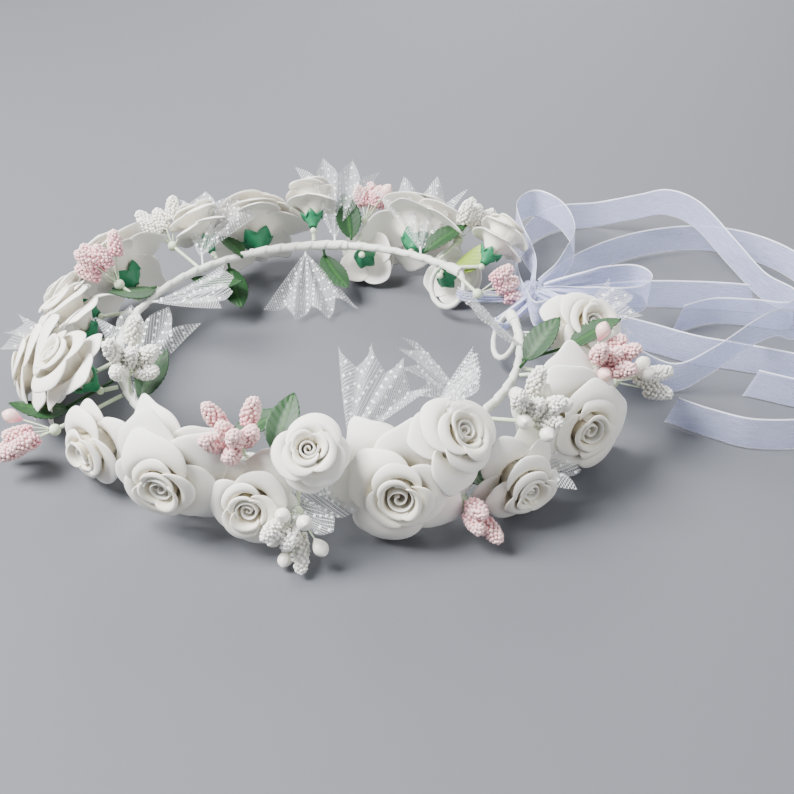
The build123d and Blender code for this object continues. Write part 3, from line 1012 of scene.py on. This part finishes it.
def dot(heap, here, face):
    """A tiny dome on each side of the net."""
    turn = turned_to(face)
    for flip in (1.0, -1.0):
        ring = [here + face * DOT_HEIGHT * flip]
        for corner in range(DOT_SIDES):
            angle = math.tau * corner / DOT_SIDES * flip
            rim = around(angle, 1.0, -0.22 * flip) * DOT_RADIUS
            ring.append(here + turn @ rim + face * 0.30 * MM * flip)
        heap.add(ring, [(0, 1 + i, 1 + (i + 1) % DOT_SIDES) for i in range(DOT_SIDES)])


for name in sorted(n for n in frame["nodes"] if n.startswith("tulle_")):
    chance = random.Random(name)
    net = Heap()
    dots = Heap()
    flats_uv = []
    for points, flats in solids_of(name):
        foot, way, normal, length, middle = plate_frame(flats, points)
        way = middle - foot
        way = (way - normal * way.dot(normal)).normalized()
        across = normal.cross(way).normalized()
        reach = min(max(length * 1.15, TULLE_LENGTHS[0]), TULLE_LENGTHS[1])
        folds = chance.uniform(2.4, 3.6)
        phase = chance.uniform(0, math.tau)
        spread = chance.uniform(0.52, 0.66)
        rows, columns = 22, 73
        made = []
        for row in range(rows):
            t = 0.04 + 0.96 * row / (rows - 1)
            for column in range(columns):
                s = 2 * column / (columns - 1) - 1
                made.append(fan_point(foot, way, across, normal, reach, spread, folds, phase, s, t))
                flats_uv.append((s * t * 30.0 * reach / TULLE_LENGTHS[1], t * reach / MM))
        net.add(made, grid_faces(rows, columns))
        stalk(dots, points, foot + way * 3.0 * MM)
        size = reach / MM
        row = 0
        y = 5.0
        while y < size - 1.5:
            x = -y * 0.72 + (row % 2) * DOT_SHIFT
            while x < y * 0.72:
                s = x / (y * 0.80)
                if abs(s) < 0.93:
                    t = y / size
                    here = fan_point(foot, way, across, normal, reach, spread, folds, phase, s, t)
                    near = fan_point(foot, way, across, normal, reach, spread, folds, phase, s, t - 0.03)
                    by = fan_point(foot, way, across, normal, reach, spread, folds, phase, s + 0.03, t)
                    face = (here - near).cross(by - here).normalized()
                    dot(dots, here, face)
                x += DOT_STEP
            y += DOT_ROW
            row += 1
    veil = net.build(name + "_net", tulle_net, thickness=0.0)
    layer = veil.data.uv_layers.new(name="flat")
    for loop in veil.data.loops:
        layer.data[loop.index].uv = flats_uv[loop.vertex_index]
    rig.replaces(veil, name)
    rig.slot(veil, "tulle")
    area = sum(face.area for face in veil.data.polygons)
    side = math.sqrt(area)
    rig.sheet(veil, flat=(side, side), held="gathered")
    spots = dots.build(name + "_dots", tulle_dot)
    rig.slot(spots, "tulle")
    print(name, "area mm2", round(area * 1e6))

# %% [markdown]
# ## Organza ribbon
# The ribbon's route is a short list of chosen points, each with how far its lower edge
# is off the table. A smooth line runs through them, and the strip stands on edge along
# it. Near the knot it is pinched narrow and pleated, and it opens to its full width on
# the way out. The last few millimetres of a tail are cut on a slant.

# %% Ribbon routes
RIBBON = 15.0 * MM
UPPER = 16.5 * MM
LOW_PINCH = KNOT.z - 4.5 * MM
HIGH_PINCH = KNOT.z + 5.0 * MM
TAILS = {
    "ribbon_tail_1": ((92, 72, 0), (93, 100, 0), (102, 128, 0), (118, 146, 0), (140, 151, 0),
                      (160, 142, 9), (173, 131, 17), (186, 116, 17), (200, 92, 8),
                      (212, 74, 0), (222, 58, 0), (216, 46, 0), (199, 49, 0), (181, 50, 0),
                      (164, 42, 0)),
    "ribbon_tail_2": ((104, 70, 0), (126, 96, 0), (158, 117, 0), (190, 124, 0),
                      (216, 114, 0), (234, 90, 0), (240, 55, 0), (238, 15, 0),
                      (226, -22, 0), (206, -44, 0), (180, -47, 0), (163, -40, 0),
                      (148, -30, 0)),
    "ribbon_tail_3": ((118, 60, 0), (148, 66, 0), (180, 65, 0), (204, 62, 0)),
    "ribbon_tail_4": ((116, 42, 0), (135, 34, 0), (150, 26, 0), (166, 17, 0), (184, 11, 0),
                      (206, 3, 0), (221, -6, 0), (222, -18, 0), (210, -20, 0),
                      (186, -10, 0)),
    "ribbon_tail_5": ((113, 36, 0), (128, 22, 0), (140, 4, 0), (154, -6, 0), (170, -4, 8),
                      (186, 2, 17), (200, 12, 17), (212, 24, 8), (228, 38, 0)),
}
LOOPS = {
    "ribbon_loop_back": ((98, 66), (94, 92), (94, 118), (105, 131), (117, 116), (120, 88),
                         (110, 62)),
    "ribbon_loop_side": ((120, 49), (142, 52), (149, 43), (143, 33), (122, 32)),
    "ribbon_loop_front": ((93, 33), (95, 20), (105, 26)),
}


# %% A smooth line through the points
def smooth_line(points, step=1.6 * MM):
    """Even steps along a cubic that passes through every point."""
    padded = [points[0] * 2 - points[1]] + list(points) + [points[-1] * 2 - points[-2]]
    dense = []
    for a, b, c, d in zip(padded, padded[1:], padded[2:], padded[3:]):
        for index in range(24):
            t = index / 24
            dense.append(0.5 * ((2 * b) + (c - a) * t + (2 * a - 5 * b + 4 * c - d) * t * t
                                + (3 * b - a - 3 * c + d) * t ** 3))
    dense.append(points[-1].copy())
    runs = [0.0]
    for before, after in zip(dense, dense[1:]):
        runs.append(runs[-1] + (after - before).length)
    count = max(8, int(runs[-1] / step))
    even = []
    place = 0
    for index in range(count + 1):
        goal = runs[-1] * index / count
        while place < len(runs) - 2 and runs[place + 1] < goal:
            place += 1
        share = (goal - runs[place]) / max(runs[place + 1] - runs[place], 1e-9)
        even.append(dense[place].lerp(dense[place + 1], min(max(share, 0.0), 1.0)))
    return even, runs[-1]


# %% Stand a strip along the line
OPENING = 26 * MM                  # the run in which the ribbon opens to its full width
SLANT_RUN = 9 * MM                 # how far back from a tail's end its slant starts
SLANT = 5 * MM
PLEAT = 1.5 * MM
ORGANZA = 0.12 * MM


def strip(name, route, body, closed, seed, pinch):
    """A ribbon on edge along a route, gathered at the knot and open away from it."""
    line, length = smooth_line(route)
    chance = random.Random(seed)
    phase = chance.uniform(0, math.tau)
    columns = 13
    points = []
    uvs = []
    count = len(line)
    run = 0.0
    for index, place in enumerate(line):
        before = line[max(index - 1, 0)]
        after = line[min(index + 1, count - 1)]
        run += (place - before).length
        along = (after - before).normalized()
        out = Vector((along.x, along.y, 0)).normalized().cross(UP)
        from_knot = run if not closed else min(run, length - run)
        opened = min(1.0, from_knot / OPENING) ** 0.8
        width = RIBBON * (0.30 + 0.70 * opened)
        centre = place.copy()
        centre.z = pinch + (place.z - pinch) * opened
        end = 0.0 if closed else max(0.0, 1 - (length - run) / SLANT_RUN)
        for column in range(columns):
            u = column / (columns - 1) - 0.5
            pleat = math.sin(u * 18 + phase) * PLEAT * (1 - opened)
            tilt = 0.9 * MM * math.sin(run / 0.017 + phase) * u
            sway = out * (pleat + tilt)
            slant = along * (end * u * -SLANT)
            points.append(centre + UP * (u * width) + sway + slant)
            uvs.append((run / MM, (u + 0.5) * RIBBON / MM))
    obj = piece(name, points, grid_faces(count, columns), organza, body=body, thickness=ORGANZA)
    layer = obj.data.uv_layers.new(name="flat")
    for loop in obj.data.loops:
        layer.data[loop.index].uv = uvs[loop.vertex_index]
    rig.slot(obj, "organza")
    return obj, length


# %% Lay the tails and tie the loops
TAIL_GAP = 7.0 * MM                # how far from the knot's axis a tail starts
BOW_GAP = 5.0 * MM


def at_knot(first, gap):
    """A place beside the knot, towards a route's first point."""
    way = (Vector((first[0], first[1], 0)) * MM - Vector((KNOT.x, KNOT.y, 0))).normalized()
    return Vector((KNOT.x, KNOT.y, 0)) + way * gap


for index, (name, points) in enumerate(TAILS.items()):
    middle = UP * (RIBBON / 2)
    route = [at_knot(points[0], TAIL_GAP) + middle]
    route += [Vector((x, y, z)) * MM + middle for x, y, z in points]
    tail, length = strip(name + "_organza", route, "ribbon_tails", False, index, LOW_PINCH)
    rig.replaces(tail, name)
    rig.sheet(tail, flat=(RIBBON, length), held="laid")
    print(name, "length mm", round(length / MM))

for index, (name, points) in enumerate(LOOPS.items()):
    middle = UP * (UPPER + RIBBON / 2)
    route = [at_knot(points[0], BOW_GAP) + middle]
    route += [Vector((x, y, 0)) * MM + middle for x, y in points]
    route += [at_knot(points[-1], BOW_GAP) + middle]
    bow, length = strip(name + "_organza", route, "crown", True, 20 + index, HIGH_PINCH)
    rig.replaces(bow, name)
    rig.sheet(bow, flat=(RIBBON, length), held="folded")
    print(name, "length mm", round(length / MM))

# %% [markdown]
# ## The knot and the strands through the loops
# Where it is tied, the ribbon bunches into a small pleated ball. Two gathered strands run
# from it, round the wire of each end loop and back.

# %% Tie the knot
KNOT_RADIUS = 5.9 * MM
KNOT_STRETCH = 1.5                 # how much taller than wide the knot is

heap = Heap()
rows, sides = 30, 56
points = []
for row in range(rows):
    v = row / (rows - 1)
    polar = math.pi * (0.02 + 0.96 * v)
    for corner in range(sides):
        angle = math.tau * corner / sides
        crease = 0.5 * MM * math.sin(angle * 7 + 5 * math.cos(polar))
        band_crease = 0.4 * MM * math.sin(polar * 9 + 2 * math.sin(angle))
        out = KNOT_RADIUS + (crease + band_crease) * math.sin(polar)
        tall = math.cos(polar) * out * KNOT_STRETCH
        points.append(KNOT + around(angle, out * math.sin(polar), tall))
heap.add(points, grid_faces(rows, sides, True))
knot = heap.build("ribbon_knot_tied", organza)
layer = knot.data.uv_layers.new(name="flat")
for loop in knot.data.loops:
    at = loop.vertex_index
    layer.data[loop.index].uv = (at // sides * 0.7, 2.0 + (at % sides) * 0.19)
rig.replaces(knot, "ribbon_knot")
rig.slot(knot, "organza")
area = sum(face.area for face in knot.data.polygons) / 2
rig.sheet(knot, flat=(RIBBON, area / RIBBON), held="gathered")

# %% Pull the strands through the loops
STRAND_WIDTH = 4.6 * MM            # as it is gathered
STRAND_PLEAT = 0.9 * MM
STRAND_BEND = 2.1 * MM             # the radius it takes round the wire
STRAND_STEP = 0.8 * MM

strand = Heap()
uvs = []
total = 0.0
for side, (centre, level, down) in end_loops.items():
    hold = centre + level * LOOP_RADIUS
    back = KNOT - hold
    back = (back - down * back.dot(down)).normalized()
    sideways = back.cross(down).normalized()
    route = [KNOT + sideways * 1.6 * MM, hold + back * 4 * MM + sideways * 2.2 * MM]
    for step in range(7):
        turn = math.radians(90 + 30 * step)
        route.append(hold + (back * math.cos(turn) + sideways * math.sin(turn)) * STRAND_BEND)
    route += [hold + back * 4 * MM - sideways * 2.2 * MM, KNOT - sideways * 1.6 * MM]
    line, length = smooth_line(route, STRAND_STEP)
    total += length
    columns = 31
    points = []
    for index, place in enumerate(line):
        before = line[max(index - 1, 0)]
        after = line[min(index + 1, len(line) - 1)]
        along = (after - before).normalized()
        wide = (down - along * down.dot(along)).normalized()
        out = along.cross(wide)
        for column in range(columns):
            u = column / (columns - 1) - 0.5
            pleat = math.sin(u * 22 + index * 0.05) * STRAND_PLEAT
            points.append(place + wide * (u * STRAND_WIDTH) + out * pleat)
            uvs.append((index * STRAND_STEP / MM, (u + 0.5) * RIBBON / MM))
    strand.add(points, grid_faces(len(line), columns))
links = strand.build("ribbon_strands", organza, thickness=0.15 * MM)
layer = links.data.uv_layers.new(name="flat")
for loop in links.data.loops:
    layer.data[loop.index].uv = uvs[loop.vertex_index]
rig.replaces(links, "ribbon_links")
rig.slot(links, "organza")
area = sum(face.area for face in links.data.polygons)
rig.sheet(links, flat=(area / total, total), held="gathered")
print("strands length mm", round(total / MM))

# %% [markdown]
# ## Table, light and camera
# A pale grey table lets white flowers and clear net both read. One large soft lamp from
# the upper left, a weaker one from the right, a third from behind and a dim sky give a
# studio look. The camera looks down at the crown's front, pitched down by 35 degrees.

# %% Table
HALF_TABLE = 4.0                   # m
CORNERS = ((-1, -1), (1, -1), (1, 1), (-1, 1))

table = bpy.data.meshes.new("table_top")
table.from_pydata([(x * HALF_TABLE, y * HALF_TABLE, 0) for x, y in CORNERS], [], [(0, 1, 2, 3)])
floor = bpy.data.objects.new("table_top", table)
bpy.context.scene.collection.objects.link(floor)
floor.location.z = CAD_BOX[0][2] - 0.0002
table_paint = bpy.data.materials.new("table_paint")
table_paint.use_nodes = True
paint = table_paint.node_tree.nodes["Principled BSDF"]
paint.inputs["Base Color"].default_value = (0.112, 0.117, 0.13, 1)
paint.inputs["Roughness"].default_value = 0.8
table.materials.append(table_paint)
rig.stage(floor)


# %% Lamps
def lamp(name, place, target, size, power):
    data = bpy.data.lights.new(name, "AREA")
    data.size = size
    data.energy = power
    obj = bpy.data.objects.new(name, data)
    obj.location = place
    obj.rotation_euler = (Vector(target) - Vector(place)).to_track_quat("-Z", "Y").to_euler()
    bpy.context.scene.collection.objects.link(obj)


lamp("key", (-0.7, -0.1, 0.95), (0.03, 0, 0), 0.6, 62.0)
lamp("fill", (0.95, -0.5, 0.6), (0.03, 0, 0), 0.9, 9.0)
lamp("rim", (0.2, 1.0, 0.55), (0.05, 0, 0), 0.6, 14.0)
sky = bpy.data.worlds.new("studio")
sky.use_nodes = True
sky.node_tree.nodes["Background"].inputs["Color"].default_value = (0.80, 0.86, 1.0, 1)
sky.node_tree.nodes["Background"].inputs["Strength"].default_value = 0.28
bpy.context.scene.world = sky

# %% Camera
PITCH = 35                         # degrees down from level

camera = bpy.data.cameras.new("camera")
camera.lens = 55.5
camera.sensor_width = 36.0
camera.clip_start = 0.01
seen_from = bpy.data.objects.new("camera", camera)
seen_from.location = (0.033, -0.447, 0.306)
seen_from.rotation_euler = (math.radians(90 - PITCH), 0, 0)
bpy.context.scene.collection.objects.link(seen_from)
bpy.context.scene.camera = seen_from

# %% Write the sizes and finish
with open("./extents.json", "w") as file:
    json.dump({"cad": CAD_BOX, "visual": [list(corner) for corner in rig.bounds()]}, file)
print(open("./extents.json").read())
